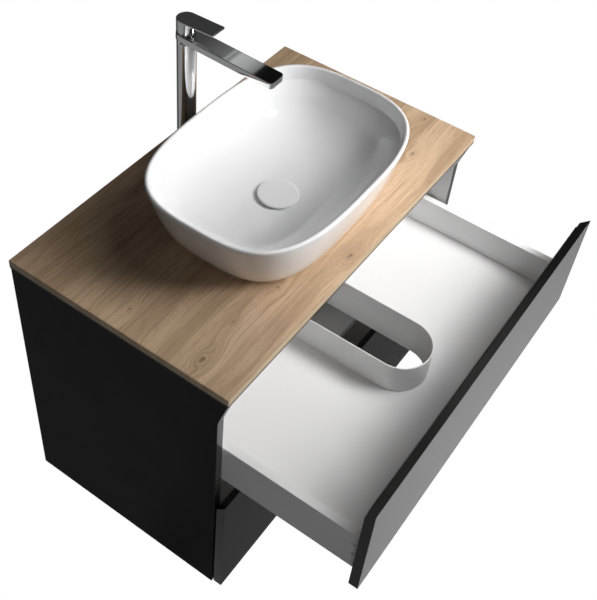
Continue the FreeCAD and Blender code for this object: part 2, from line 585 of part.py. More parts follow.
def slot_pockets(side_top):
    pockets = []
    for drop, height in SLOTS:
        top = level(side_top + drop)
        pockets.append(block((DRAWER_OUTER - SLOT_DEPTH, DRAWER_OUTER + 1),
                             (box_front + SLOT_Y[0], box_front + SLOT_Y[1]), (top - height, top)))
    return pockets


def front_bracket(side_top):
    """Zinc fixing set in the drawer side's slots, with its tongue against the drawer front."""
    parts = []
    for drop, height in SLOTS:
        top = level(side_top + drop)
        parts.append(block((DRAWER_OUTER - SLOT_DEPTH, DRAWER_OUTER - BRACKET_IN),
                           (box_front + SLOT_Y[0], box_front + SLOT_Y[1]), (top - height, top)))
    return parts


# Runner profiles: X from the centre line, Y behind the worktop's front edge, Z from the
# underside of the drawer floor.
FLANGE_X, FLANGE_Z = (344.0, side_in), (-2.0, 0.0)
WEB_X, WEB_Z = (352.0, 354.0), (-11.0, -1.0)
FOOT_X, FOOT_Z = (346.0, 360.0), (-12.0, -10.5)
CHANNEL_X, CHANNEL_Z = (344.0, 358.0), (-25.0, -13.0)
CHANNEL_GAUGE = 1.5
LIP_X, LIP_TOP = 340.0, -14.0
ANGLE_TOP, ANGLE_FOOT, ANGLE_GAUGE = 8.0, -28.0, 2.0
MOVING_ENDS, MIDDLE_ENDS, FIXED_ENDS = (22.0, 414.0), (24.0, 416.0), (24.0, 422.0)


def spanned(ends):
    return (behind(ends[0]), behind(ends[1]))


def raised(z_pair, floor_under):
    return (floor_under + z_pair[0], floor_under + z_pair[1])


def runner_moving(floor_under):
    """Profile screwed under the drawer floor: top flange, web and foot."""
    ends = spanned(MOVING_ENDS)
    flange = block(FLANGE_X, ends, raised(FLANGE_Z, floor_under))
    web = block(WEB_X, ends, raised(WEB_Z, floor_under))
    foot = block(FOOT_X, ends, raised(FOOT_Z, floor_under))
    return flange.fuse(web).fuse(foot).removeSplitter()


def runner_middle(floor_under):
    """Channel that travels half as far as the drawer."""
    low, high = raised(CHANNEL_Z, floor_under)
    start, end = spanned(MIDDLE_ENDS)
    outer = block(CHANNEL_X, (start, end), (low, high))
    inner = block((CHANNEL_X[0] + CHANNEL_GAUGE, CHANNEL_X[1] + 1), (start - 1, end + 1),
                  (low + CHANNEL_GAUGE, high - CHANNEL_GAUGE))
    return outer.cut(inner)


def runner_fixed(floor_under):
    """Angle screwed to the side panel, with a lip that guides the channel."""
    top, foot = floor_under + ANGLE_TOP, floor_under + ANGLE_FOOT
    outline_xz = [(PANEL_IN, top), (PANEL_IN, foot), (LIP_X, foot), (LIP_X, floor_under + LIP_TOP),
                  (LIP_X + ANGLE_GAUGE, floor_under + LIP_TOP), (LIP_X + ANGLE_GAUGE, foot + ANGLE_GAUGE),
                  (PANEL_IN - ANGLE_GAUGE, foot + ANGLE_GAUGE), (PANEL_IN - ANGLE_GAUGE, top)]
    return plate_xz(outline_xz, *spanned(FIXED_ENDS))


def drawer(name, top, bottom, side_top, floor_top, pull, cut_out):
    """Save one drawer's pieces, pulled out by the given distance."""
    floor_under = floor_top + FLOOR
    side_bottom = floor_under + RECESS
    y_span = (box_front, box_back)
    side = block((side_in, DRAWER_OUTER), y_span, (level(side_bottom), level(side_top)))
    side = cut_all(side, slot_pockets(side_top))
    floor = block((-side_in, side_in), y_span, (level(floor_under), level(floor_top)))
    back_y = (box_back - DRAWER_SIDE, box_back)
    back = block((-side_in, side_in), back_y, (level(floor_top), level(side_top)))
    strip_z = (level(top + FRONT + STRIP_HEIGHT), level(top + FRONT))
    strip = block((-STRIP_HALF, STRIP_HALF), (box_front, box_front + STRIP), strip_z)
    if cut_out:
        centre = V(0, behind(CUTOUT_BACK), 0)
        low, high = level(floor_under), level(side_top)

        def slot(radius, z_from, z_to):
            legs = block((-radius, radius), (centre.y, box_back + 1), (z_from, z_to))
            return legs.fuse(rod(radius, at(centre, z_from), at(centre, z_to)))

        opening = slot(CUTOUT_R, low - 1, high + 1)
        floor = floor.cut(opening)
        back = back.cut(opening)
        collar = slot(CUTOUT_R, low, high).cut(slot(CUTOUT_R - COLLAR, low - 1, high + 1))
        beyond = block((-CUTOUT_R - 5, CUTOUT_R + 5), (box_back, box_back + 20), (low - 2, high + 2))
        save("siphon_collar", slid(collar.cut(beyond).removeSplitter(), -pull))
    save(name + "_front", slid(bevelled_front(top, bottom), -pull))
    save(name + "_side_right", slid(side, -pull))
    save(name + "_side_left", slid(mirrored(side), -pull))
    save(name + "_floor", slid(floor, -pull))
    save(name + "_back", slid(back, -pull))
    save(name + "_grip_strip", slid(strip, -pull))
    brackets = front_bracket(side_top)
    save(name + "_front_fixings", slid(group(brackets + [mirrored(b) for b in brackets]), -pull))
    moving = group(both_sides(runner_moving(level(floor_under))))
    save(name + "_runner_drawer", slid(moving, -pull))
    save(name + "_runner_middle", slid(group(both_sides(runner_middle(level(floor_under)))), -pull / 2))
    return both_sides(runner_fixed(level(floor_under)))


fixed = drawer("upper", UPPER_TOP, UPPER_BOTTOM, UPPER_SIDE_TOP, UPPER_FLOOR_TOP, UPPER_PULL, True)
fixed += drawer("lower", LOWER_TOP, LOWER_BOTTOM, LOWER_SIDE_TOP, LOWER_FLOOR_TOP, 0, False)
save("runner_cabinet_members", group(fixed))
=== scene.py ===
import math

import bpy
import bmesh
from mathutils import Matrix, Vector


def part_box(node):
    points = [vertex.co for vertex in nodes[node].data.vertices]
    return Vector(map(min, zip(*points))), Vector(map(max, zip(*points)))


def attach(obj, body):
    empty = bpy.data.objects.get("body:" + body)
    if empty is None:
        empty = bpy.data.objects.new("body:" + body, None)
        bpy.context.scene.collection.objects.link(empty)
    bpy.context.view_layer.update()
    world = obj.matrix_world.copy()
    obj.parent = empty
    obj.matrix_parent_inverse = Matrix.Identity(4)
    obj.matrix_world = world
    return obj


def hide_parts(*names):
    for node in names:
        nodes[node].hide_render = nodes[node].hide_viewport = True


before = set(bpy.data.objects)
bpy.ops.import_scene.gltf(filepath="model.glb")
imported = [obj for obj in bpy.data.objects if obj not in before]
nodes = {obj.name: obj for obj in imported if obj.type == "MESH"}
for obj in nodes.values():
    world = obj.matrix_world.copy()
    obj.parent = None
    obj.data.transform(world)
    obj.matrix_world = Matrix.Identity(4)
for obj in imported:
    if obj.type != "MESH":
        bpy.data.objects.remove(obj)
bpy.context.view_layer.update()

scene = bpy.context.scene


# ---- Studio ----------------------------------------------------------------------------
# A pale floor, a group of soft lamps high at the front right with weaker ones round it, and
# cards that the glossy pieces mirror. The camera stands at the front left, well above the worktop.
floor_level = -0.76
camera_place = Vector((-1.13305, -0.97155, 1.36548))
camera_right = Vector((0.5728328, -0.81652807, 0.07172518))
camera_up = Vector((0.55729478, 0.45214246, 0.69641204))
camera_back = Vector((-0.60106997, -0.35895559, 0.71404886))

camera_data = bpy.data.cameras.new("camera")
camera_data.sensor_width = 36.0
camera_data.lens = 61.367
camera_data.shift_x = 0.01733
camera_data.shift_y = -0.10633
camera_data.clip_start = 0.05
camera_data.clip_end = 60.0
camera = bpy.data.objects.new("camera", camera_data)
turn = Matrix((camera_right, camera_up, camera_back)).transposed()
camera.matrix_world = Matrix.Translation(camera_place) @ turn.to_4x4()
scene.collection.objects.link(camera)
scene.camera = camera
scene.view_settings.view_transform = "Standard"


def add(tree, kind, settings=None, **inputs):
    """Adds a shader node. An input is a value, or another node's output to link."""
    node = tree.nodes.new("ShaderNode" + kind)
    for key, value in (settings or {}).items():
        setattr(node, key, value)
    for key, value in inputs.items():
        title = int(key[1:]) if key[1:].isdigit() else key.replace("_", " ")
        socket = node.inputs[title]
        if isinstance(value, bpy.types.NodeSocket):
            tree.links.new(value, socket)
        else:
            socket.default_value = value
    return node


def blank_tree(owner):
    owner.use_nodes = True
    owner.node_tree.nodes.clear()
    return owner.node_tree


def heading(azimuth, elevation):
    """Direction from azimuth, in degrees from +X towards -Y, and elevation above the horizon."""
    a, e = math.radians(azimuth), math.radians(elevation)
    return Vector((math.cos(a) * math.cos(e), -math.sin(a) * math.cos(e), math.sin(e)))


def lamp(name, azimuth, elevation, distance, aim, size, power, spread=180.0):
    """A square soft lamp that faces a point."""
    data = bpy.data.lights.new(name, "AREA")
    data.shape = "SQUARE"
    data.size = size
    data.energy = power
    data.spread = math.radians(spread)
    obj = bpy.data.objects.new(name, data)
    obj.location = Vector(aim) + heading(azimuth, elevation) * distance
    obj.rotation_euler = (-heading(azimuth, elevation)).to_track_quat("-Z", "Y").to_euler()
    obj.visible_glossy = False
    scene.collection.objects.link(obj)


middle, drawer_middle = (0.0, -0.35, 0.05), (0.2, -0.55, 0.0)
for name, azimuth, elevation, power in (("key_low", 72, 27, 3.9), ("key_mid", 72, 40, 8.0),
                                        ("key_high", 72, 53, 4.0), ("key_right", 54, 53, 3.65)):
    lamp(name, azimuth, elevation, 1.3, drawer_middle, 0.4, power)
lamp("key_grid_high", 72, 53, 1.6, drawer_middle, 0.45, 0.50, 45.0)
lamp("key_grid_low", 72, 40, 1.6, drawer_middle, 0.45, 0.23, 45.0)
for name, azimuth, elevation, power in (("fill_low", 60, 14, 16.0), ("fill_left", 150, 24, 5.2),
                                        ("fill_front", 36, 53, 5.0), ("fill_high", 54, 66, 3.9),
                                        ("fill_right", 0, 53, 3.5)):
    lamp(name, azimuth, elevation, 2.4, middle, 0.6, power)


def flat_mesh(name, corners):
    mesh = bpy.data.meshes.new(name)
    mesh.from_pydata([tuple(c) for c in corners], [], [tuple(range(len(corners)))])
    obj = bpy.data.objects.new(name, mesh)
    scene.collection.objects.link(obj)
    return obj


half_floor = 14.0
floor = flat_mesh("floor", [(x * half_floor, y * half_floor, floor_level)
                            for x, y in ((-1, -1), (1, -1), (1, 1), (-1, 1))])
floor_paint = bpy.data.materials.new("pale floor")
tree = blank_tree(floor_paint)
path = add(tree, "LightPath")
matt = add(tree, "BsdfDiffuse", Color=(0.5, 0.5, 0.5, 1))
white = add(tree, "Emission", Color=(1, 1, 1, 1), Strength=1.0)
both = add(tree, "MixShader", Fac=path.outputs["Is Camera Ray"], _1=matt.outputs[0], _2=white.outputs[0])
add(tree, "OutputMaterial", Surface=both.outputs[0])
floor.data.materials.append(floor_paint)

world = bpy.data.worlds.new("studio")
scene.world = world
tree = blank_tree(world)
path = add(tree, "LightPath")
white = add(tree, "Background", Color=(1, 1, 1, 1), Strength=1.0)
grey = add(tree, "Background", Color=(1, 1, 1, 1), Strength=0.04)
black = add(tree, "Background", Color=(1, 1, 1, 1), Strength=0.0)
mirrored = add(tree, "MixShader", Fac=path.outputs["Is Glossy Ray"], _1=black.outputs[0], _2=grey.outputs[0])
both = add(tree, "MixShader", Fac=path.outputs["Is Camera Ray"], _1=mirrored.outputs[0], _2=white.outputs[0])
add(tree, "OutputWorld", Surface=both.outputs[0])


def card(name, corners, strength):
    """A glowing card that is seen only in mirror reflections."""
    obj = flat_mesh(name, corners)
    paint = bpy.data.materials.new(name)
    tree = blank_tree(paint)
    glow = add(tree, "Emission", Color=(1, 1, 1, 1), Strength=strength)
    add(tree, "OutputMaterial", Surface=glow.outputs[0])
    obj.data.materials.append(paint)
    obj.visible_camera = False
    obj.visible_diffuse = False
    obj.visible_shadow = False


def level_card(name, x, y, z, strength):
    card(name, [(x[0], y[0], z), (x[1], y[0], z), (x[1], y[1], z), (x[0], y[1], z)], strength)


card_level = floor_level + 0.006
# Painted shade: a dim card, seen only in reflections, darkens the floor under the cabinet where its shadow
# falls.
level_card("floor_shade_card", (-0.9, 0.7), (-0.74, -0.44), card_level, 0.09)
level_card("grey_floor_card", (-2.6, -0.45), (-0.2, 2.4), card_level, 0.24)


def facing_card(name, azimuth, elevation, distance, aim, width, height, strength):
    """An upright card that faces a point."""
    away = heading(azimuth, elevation)
    side = away.cross(Vector((0, 0, 1))).normalized() * width / 2
    rise = side.cross(away).normalized() * height / 2
    centre = Vector(aim) + away * distance
    corners = [centre - side - rise, centre + side - rise, centre + side + rise, centre - side + rise]
    card(name, corners, strength)


facing_card("lamp_card", 62, 42, 1.5, middle, 0.14, 0.34, 11.0)
for name, azimuth, width in (("left_card", 172, 1.0), ("front_card", 98, 0.7), ("back_card", 232, 1.1),
                             ("right_card", 12, 0.9)):
    facing_card(name, azimuth, 6, 3.2, middle, width, 2.0, 0.55)

# The card that the spout's flat top mirrors towards the camera: grey near the tap's column, with a
# pale band further out, and black for the tip.
spout_level = 0.357
mirror_depth = 0.9
spout_tilt = math.radians(1.8)
spout_up = Vector((0.0, -math.sin(spout_tilt), math.cos(spout_tilt)))
corners = []
for x, y in ((-0.06, -0.035), (0.06, -0.035), (0.06, -0.262), (-0.06, -0.262)):
    touch = Vector((x, y, spout_level))
    seen = touch - camera_place
    corners.append(touch + (seen - 2 * seen.dot(spout_up) * spout_up) * mirror_depth)
card("spout_card", corners, 1.0)
sheet = bpy.data.objects["spout_card"].data
layer = sheet.uv_layers.new(name="along")
for loop, along in zip(layer.data, ((0, 0), (0, 1), (1, 1), (1, 0))):
    loop.uv = along
tree = sheet.materials[0].node_tree
length = add(tree, "SeparateXYZ", Vector=add(tree, "TexCoord").outputs["UV"]).outputs["X"]
tones = add(tree, "ValToRGB", Fac=length)
stops = tones.color_ramp.elements
stops[0].position, stops[0].color = 0.0, (0.045, 0.045, 0.045, 1)
stops[1].position, stops[1].color = 1.0, (0.004, 0.004, 0.004, 1)
for place, tone in ((0.25, 0.06), (0.42, 0.12), (0.485, 0.15), (0.50, 0.42), (0.52, 0.16), (0.56, 0.46),
                    (0.66, 0.38), (0.75, 0.20), (0.765, 0.006)):
    stops.new(place).color = (tone, tone, tone, 1)
glow = next(node for node in tree.nodes if node.type == "EMISSION")
tree.links.new(tones.outputs["Color"], glow.inputs["Color"])


# ---- Worktop ---------------------------------------------------------------------------
# The worktop is an 18 mm chipboard with a printed oak laminate on its upper face, whose
# grain runs from end to end. Holes for the waste and the tap are drilled through it.
def new_material(name):
    paint = bpy.data.materials.new(name)
    tree = blank_tree(paint)
    surface = add(tree, "BsdfPrincipled")
    add(tree, "OutputMaterial", Surface=surface.outputs[0])
    return paint, tree, surface


def new_group(name, inputs, outputs):
    """A shader node group. An input is (name, kind, default), an output is (name, kind)."""
    group = bpy.data.node_groups.new(name, "ShaderNodeTree")
    for title, kind, value in inputs:
        socket = group.interface.new_socket(title, in_out="INPUT", socket_type="NodeSocket" + kind)
        if value is not None:
            socket.default_value = value
    for title, kind in outputs:
        group.interface.new_socket(title, in_out="OUTPUT", socket_type="NodeSocket" + kind)
    source = group.nodes.new("NodeGroupInput")
    sink = group.nodes.new("NodeGroupOutput")
    return group, source.outputs, sink.inputs


def calc(tree, operation, a, b=0.5, c=0.5):
    return add(tree, "Math", {"operation": operation}, _0=a, _1=b, _2=c).outputs[0]


def place_group(tree, group, **inputs):
    node = tree.nodes.new("ShaderNodeGroup")
    node.node_tree = group
    for key, value in inputs.items():
        socket = node.inputs[key.replace("_", " ")]
        if isinstance(value, bpy.types.NodeSocket):
            tree.links.new(value, socket)
        else:
            socket.default_value = value
    return node


def noise(tree, where, scale, detail=2.0, roughness=0.5):
    return add(tree, "TexNoise", Vector=where, Scale=scale, Detail=detail, Roughness=roughness).outputs[0]


def stretched(tree, where, x, y, z):
    return add(tree, "VectorMath", {"operation": "MULTIPLY"}, _0=where, _1=(x, y, z)).outputs[0]


def blend(tree, share, a, b):
    """Colour mix of a and b."""
    node = add(tree, "Mix", {"data_type": "RGBA"})
    for socket, value in ((node.inputs[0], share), (node.inputs[6], a), (node.inputs[7], b)):
        if isinstance(value, bpy.types.NodeSocket):
            tree.links.new(value, socket)
        else:
            socket.default_value = value
    return node.outputs[2]


def ramped(tree, value, low, high, to_low=0.0, to_high=1.0):
    return add(tree, "MapRange", {"interpolation_type": "SMOOTHSTEP"}, Value=value,
               From_Min=low, From_Max=high, To_Min=to_low, To_Max=to_high).outputs[0]


# Knot: bends the grain into rings about a point and darkens its core.
knot, given, out = new_group("knot", [("Vector", "Vector", None), ("Centre", "Vector", None),
                                      ("Radius", "Float", 0.02)],
                             [("Vector", "Vector"), ("Core", "Float"), ("Swirl", "Float")])
away = add(knot, "VectorMath", {"operation": "SUBTRACT"}, _0=given["Vector"],
           _1=given["Centre"]).outputs[0]
parts = add(knot, "SeparateXYZ", Vector=away).outputs
squeezed = calc(knot, "MULTIPLY", parts["X"], 0.55)
far = calc(knot, "SQRT", calc(knot, "ADD", calc(knot, "MULTIPLY", squeezed, squeezed),
                              calc(knot, "MULTIPLY", parts["Y"], parts["Y"])))
share = calc(knot, "DIVIDE", far, given["Radius"])
near = calc(knot, "EXPONENT", calc(knot, "MULTIPLY", calc(knot, "MULTIPLY", share, share), -1.0))
across = calc(knot, "SUBTRACT", calc(knot, "MULTIPLY", far, 1.25), parts["Y"])
across = calc(knot, "MULTIPLY", across, near)
knot_place = add(knot, "SeparateXYZ", Vector=given["Vector"]).outputs
bent_y = calc(knot, "ADD", knot_place["Y"], across)
bent = add(knot, "CombineXYZ", X=knot_place["X"], Y=bent_y, Z=knot_place["Z"])
rough_edge = calc(knot, "MULTIPLY", noise(knot, away, 260.0, 3.0, 0.6), 0.5)
swirl = calc(knot, "SINE", calc(knot, "MULTIPLY", calc(knot, "ADD", share, rough_edge), 22.0))
swirl = calc(knot, "MULTIPLY", calc(knot, "ADD", calc(knot, "MULTIPLY", swirl, 0.5), 0.5), near)
core = ramped(knot, calc(knot, "ADD", share, rough_edge), 0.55, 0.22)
knot.links.new(bent.outputs[0], out["Vector"])
knot.links.new(core, out["Core"])
knot.links.new(swirl, out["Swirl"])

# Oak figure: broad bands, growth lines, fine fibre and pores, all stretched along X.
oak_figure, given, out = new_group("oak figure", [("Vector", "Vector", None), ("Waviness", "Float", 1.0)],
                                   [("Bands", "Float"), ("Lines", "Float"), ("Fibre", "Float"),
                                    ("Pores", "Float")])
slow = noise(oak_figure, stretched(oak_figure, given["Vector"], 2.6, 9.0, 2.6), 1.0, 2.0)
quick = noise(oak_figure, stretched(oak_figure, given["Vector"], 11.0, 40.0, 11.0), 1.0, 2.0)
slow = calc(oak_figure, "MULTIPLY", calc(oak_figure, "SUBTRACT", slow, 0.5), 0.034)
quick = calc(oak_figure, "MULTIPLY", calc(oak_figure, "SUBTRACT", quick, 0.5), 0.004)
wander = calc(oak_figure, "MULTIPLY", calc(oak_figure, "ADD", slow, quick), given["Waviness"])
parts = add(oak_figure, "SeparateXYZ", Vector=given["Vector"]).outputs
waved = add(oak_figure, "CombineXYZ", X=parts["X"], Y=calc(oak_figure, "ADD", parts["Y"], wander),
            Z=parts["Z"]).outputs[0]
bands = noise(oak_figure, stretched(oak_figure, waved, 2.6, 26.0, 26.0), 1.0, 5.0, 0.62)
lines = noise(oak_figure, stretched(oak_figure, waved, 7.0, 250.0, 250.0), 1.0, 4.0, 0.65)
fibre = noise(oak_figure, stretched(oak_figure, waved, 26.0, 620.0, 620.0), 1.0, 3.0, 0.7)
pores = noise(oak_figure, stretched(oak_figure, waved, 60.0, 1100.0, 1100.0), 1.0, 2.0, 0.6)
oak_figure.links.new(ramped(oak_figure, bands, 0.36, 0.64), out["Bands"])
oak_figure.links.new(ramped(oak_figure, lines, 0.44, 0.66), out["Lines"])
oak_figure.links.new(ramped(oak_figure, fibre, 0.3, 0.7), out["Fibre"])
oak_figure.links.new(ramped(oak_figure, pores, 0.58, 0.70), out["Pores"])

oak_light = (0.66, 0.475, 0.315, 1)
oak_mid = (0.47, 0.325, 0.205, 1)
oak_line = (0.30, 0.195, 0.12, 1)
oak_knot = (0.10, 0.062, 0.038, 1)
knots = [((-0.3625, -0.380, 0), 0.021), ((-0.030, -0.441, 0), 0.020), ((0.2725, -0.390, 0), 0.017),
         ((0.380, -0.356, 0), 0.011), ((-0.1675, -0.385, 0), 0.012), ((-0.355, -0.225, 0), 0.009),
         ((-0.2725, -0.372, 0), 0.008), ((0.310, -0.060, 0), 0.016), ((-0.140, -0.052, 0), 0.012)]

oak, tree, surface = new_material("oak laminate")
where = add(tree, "TexCoord").outputs["Object"]
cores, swirls = 0.0, 0.0
for centre, radius in knots:
    one = place_group(tree, knot, Vector=where, Centre=centre, Radius=radius)
    where = one.outputs["Vector"]
    cores = calc(tree, "MAXIMUM", cores, one.outputs["Core"])
    swirls = calc(tree, "MAXIMUM", swirls, one.outputs["Swirl"])
figure = place_group(tree, oak_figure, Vector=where, Waviness=1.0)
colour = blend(tree, figure.outputs["Bands"], oak_light, oak_mid)
colour = blend(tree, calc(tree, "MULTIPLY", figure.outputs["Lines"], 0.50), colour, oak_line)
colour = blend(tree, calc(tree, "MULTIPLY", figure.outputs["Fibre"], 0.22), colour, oak_line)
colour = blend(tree, calc(tree, "MULTIPLY", figure.outputs["Pores"], 0.42), colour, oak_knot)
colour = blend(tree, calc(tree, "MULTIPLY", swirls, 0.38), colour, oak_line)
colour = blend(tree, calc(tree, "MULTIPLY", cores, 0.7), colour, oak_knot)
tree.links.new(colour, surface.inputs["Base Color"])
tree.links.new(ramped(tree, figure.outputs["Fibre"], 0.0, 1.0, 0.48, 0.58), surface.inputs["Roughness"])
surface.inputs["Specular IOR Level"].default_value = 0.35
relief = calc(tree, "ADD", calc(tree, "MULTIPLY", figure.outputs["Pores"], -1.0),
              calc(tree, "MULTIPLY", figure.outputs["Fibre"], 0.4))
bump = add(tree, "Bump", Strength=0.35, Distance=0.00012, Height=relief)
tree.links.new(bump.outputs[0], surface.inputs["Normal"])


def soften(obj, width, segments=2, angle=32.0):
    """Rounds an object's sharp edges by a small radius."""
    weld = obj.modifiers.new("join", "WELD")
    weld.merge_threshold = 0.00001
    bevel = obj.modifiers.new("round", "BEVEL")
    bevel.width = width
    bevel.segments = segments
    bevel.limit_method = "ANGLE"
    bevel.angle_limit = math.radians(angle)
    bevel.use_clamp_overlap = True
    shade = obj.modifiers.new("shade", "WEIGHTED_NORMAL")
    shade.keep_sharp = False


def dress(name, paint, edge=0.0, segments=2):
    """Gives a CAD node its finish and slightly rounded edges."""
    obj = nodes[name]
    obj.data.materials.clear()
    obj.data.materials.append(paint)
    if edge:
        soften(obj, edge, segments)
    return obj


dress("worktop", oak, 0.0002)


# ---- Worktop edging --------------------------------------------------------------------
# Thin ABS strips with an oak print are glued round the worktop's front and two ends, and
# their corners are trimmed to a small radius. A dark line of painted shade runs along their lower edge.
edging, tree, surface = new_material("oak edging")
where = add(tree, "TexCoord").outputs["Object"]
figure = place_group(tree, oak_figure, Vector=where, Waviness=0.3)
colour = blend(tree, figure.outputs["Bands"], (0.60, 0.47, 0.32, 1), (0.47, 0.345, 0.225, 1))
colour = blend(tree, calc(tree, "MULTIPLY", figure.outputs["Lines"], 0.3), colour, oak_line)
colour = blend(tree, calc(tree, "MULTIPLY", figure.outputs["Fibre"], 0.12), colour, oak_line)
height = add(tree, "SeparateXYZ", Vector=add(tree, "NewGeometry").outputs["Position"]).outputs["Z"]
# Painted shade: the strips' lowest few millimetres turn near black, standing for the shadow in the gap under
# the worktop.
colour = blend(tree, ramped(tree, height, 0.0772, 0.0758), colour, (0.035, 0.026, 0.018, 1))
tree.links.new(colour, surface.inputs["Base Color"])
tree.links.new(ramped(tree, figure.outputs["Fibre"], 0.0, 1.0, 0.42, 0.52), surface.inputs["Roughness"])
surface.inputs["Specular IOR Level"].default_value = 0.4
bump = add(tree, "Bump", Strength=0.3, Distance=0.0001, Height=figure.outputs["Fibre"])
tree.links.new(bump.outputs[0], surface.inputs["Normal"])
dress("worktop_edging", edging, 0.0006, 3)


# ---- Side panels -----------------------------------------------------------------------
# Two 16 mm chipboards stand between wall and fronts, faced outside with matt black melamine
# and inside with pale grey, and edged in black. Each ends in a slanted nose at the top.
# Fine finish: a faint grain in colour, roughness and height, the same all over a piece.
fine_finish, given, out = new_group("fine finish", [("Vector", "Vector", None), ("Grain Size", "Float", 900.0),
                                                    ("Patch Size", "Float", 9.0), ("Roughness", "Float", 0.5),
                                                    ("Spread", "Float", 0.1)],
                                    [("Tone", "Float"), ("Roughness", "Float"), ("Height", "Float")])
grain = noise(fine_finish, given["Vector"], given["Grain Size"], 2.0, 0.6)
patch = noise(fine_finish, given["Vector"], given["Patch Size"], 4.0, 0.6)
tone = calc(fine_finish, "ADD", calc(fine_finish, "MULTIPLY", grain, 0.5),
            calc(fine_finish, "MULTIPLY", patch, 0.5))
rough = calc(fine_finish, "ADD", given["Roughness"],
             calc(fine_finish, "MULTIPLY", calc(fine_finish, "SUBTRACT", patch, 0.5), given["Spread"]))
fine_finish.links.new(ramped(fine_finish, tone, 0.3, 0.7), out["Tone"])
fine_finish.links.new(rough, out["Roughness"])
fine_finish.links.new(grain, out["Height"])

# Edge wear: a mask that is 1 on a piece's sharp edges and 0 on its faces.
edge_wear, given, out = new_group("edge wear", [("Radius", "Float", 0.0008), ("Amount", "Float", 1.0)],
                                  [("Mask", "Float")])
rounded = add(edge_wear, "Bevel", {"samples": 4}, Radius=given["Radius"])
face = add(edge_wear, "NewGeometry")
alike = add(edge_wear, "VectorMath", {"operation": "DOT_PRODUCT"}, _0=rounded.outputs[0],
            _1=face.outputs["Normal"]).outputs["Value"]
worn = ramped(edge_wear, alike, 0.99, 0.86)
edge_wear.links.new(calc(edge_wear, "MULTIPLY", worn, given["Amount"]), out["Mask"])


def finish(name, light, dark, roughness, spread=0.1, grain=900.0, patch=9.0, relief=0.15, depth=0.00005,
           worn=None, wear=0.5, metallic=0.0, specular=0.5, coat=0.0, coat_roughness=0.05):
    """A painted, moulded or plated finish: colour between light and dark, with faint grain and worn edges."""
    paint, tree, surface = new_material(name)
    where = add(tree, "TexCoord").outputs["Object"]
    fine = place_group(tree, fine_finish, Vector=where, Grain_Size=grain, Patch_Size=patch,
                       Roughness=roughness, Spread=spread)
    colour = blend(tree, fine.outputs["Tone"], (*light, 1), (*dark, 1))
    if worn:
        edges = place_group(tree, edge_wear, Radius=0.0009, Amount=wear)
        colour = blend(tree, edges.outputs["Mask"], colour, (*worn, 1))
    tree.links.new(colour, surface.inputs["Base Color"])
    tree.links.new(fine.outputs["Roughness"], surface.inputs["Roughness"])
    bump = add(tree, "Bump", Strength=relief, Distance=depth, Height=fine.outputs["Height"])
    tree.links.new(bump.outputs[0], surface.inputs["Normal"])
    surface.inputs["Metallic"].default_value = metallic
    surface.inputs["Specular IOR Level"].default_value = specular
    surface.inputs["Coat Weight"].default_value = coat
    surface.inputs["Coat Roughness"].default_value = coat_roughness
    return paint


black_board = finish("black board", (0.0125, 0.0125, 0.0135), (0.0095, 0.0095, 0.0100), 0.55, 0.08,
                     grain=2200.0, relief=0.25, worn=(0.03, 0.03, 0.031), specular=0.12)
carcass_board = finish("grey board", (0.76, 0.76, 0.76), (0.72, 0.72, 0.725), 0.45, 0.08, grain=2200.0,
                       relief=0.2, specular=0.35)
gloss_edging = finish("black gloss edging", (0.020, 0.020, 0.0205), (0.014, 0.014, 0.0145), 0.26, 0.08,
                      grain=1500.0, relief=0.1, worn=(0.06, 0.06, 0.062), specular=0.6)
panel_thick = 0.016
for side, outward in (("left", -1), ("right", 1)):
    panel = dress("side_panel_" + side, black_board, 0.0004)
    panel.data.materials.append(carcass_board)
    panel.data.materials.append(gloss_edging)
    low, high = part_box("side_panel_" + side)
    inner_x = high.x - panel_thick if outward > 0 else low.x + panel_thick
    for polygon in panel.data.polygons:
        if abs(polygon.center.x - inner_x) < 0.0005 and abs(polygon.normal.x) > 0.9:
            polygon.material_index = 1
        elif polygon.normal.y < -0.6:
            polygon.material_index = 2


# ---- Carcass boards --------------------------------------------------------------------
# The bottom, the front rails and the back rails are 16 mm grey melamine boards fixed
# between the side panels with cams. The top back rail is notched for the tap's tail.
for name in ("bottom_panel", "top_front_rail", "top_back_rail", "divider_rail", "bottom_back_rail"):
    dress(name, carcass_board, 0.0003)


# ---- Cam locks, screws, wall plates and hooks -------------------------------------------
# Die-cast zinc cams draw the boards together, and plated screws hold the worktop. Bent steel
# plates are screwed to the wall, and the cabinet's hooks hang on their tongues.
zinc = finish("zinc", (0.62, 0.63, 0.64), (0.50, 0.51, 0.53), 0.38, 0.2, grain=700.0, patch=40.0,
              relief=0.3, metallic=1.0, worn=(0.72, 0.73, 0.74))
for name in ("cam_locks", "worktop_screws"):
    dress(name, zinc, 0.0002)
for name in ("wall_plates", "hanger_hooks"):
    dress(name, zinc, 0.0004)


# ---- Basin -----------------------------------------------------------------------------
# A vessel basin of fired white clay under a clear glossy glaze, cast in one piece. Its wall
# flares up to a thin rounded rim, and inside it curves down to a shallow dish at the drain.
drain_y = -0.265
top_level = 0.090
rim_height = 0.125
rim_half = (0.2488, 0.1742)
foot_half = (0.186, 0.133)
squareness = 3.12


def basin_outline(half_x, half_y, level, count=160):
    ring = []
    for i in range(count):
        angle = 2 * math.pi * i / count
        c, s = math.cos(angle), math.sin(angle)
        reach = ((abs(c) / half_x) ** squareness + (abs(s) / half_y) ** squareness) ** (-1 / squareness)
        ring.append((reach * c, drain_y + reach * s, level))
    return ring


def flare(height):
    share = math.sqrt(max(height, 0.0) / rim_height)
    return [f + (r - f) * share for f, r in zip(foot_half, rim_half)]


def circle(radius, level, centre_x=0.0, centre_y=drain_y, count=160):
    return [(centre_x + radius * math.cos(2 * math.pi * i / count),
             centre_y + radius * math.sin(2 * math.pi * i / count), level) for i in range(count)]


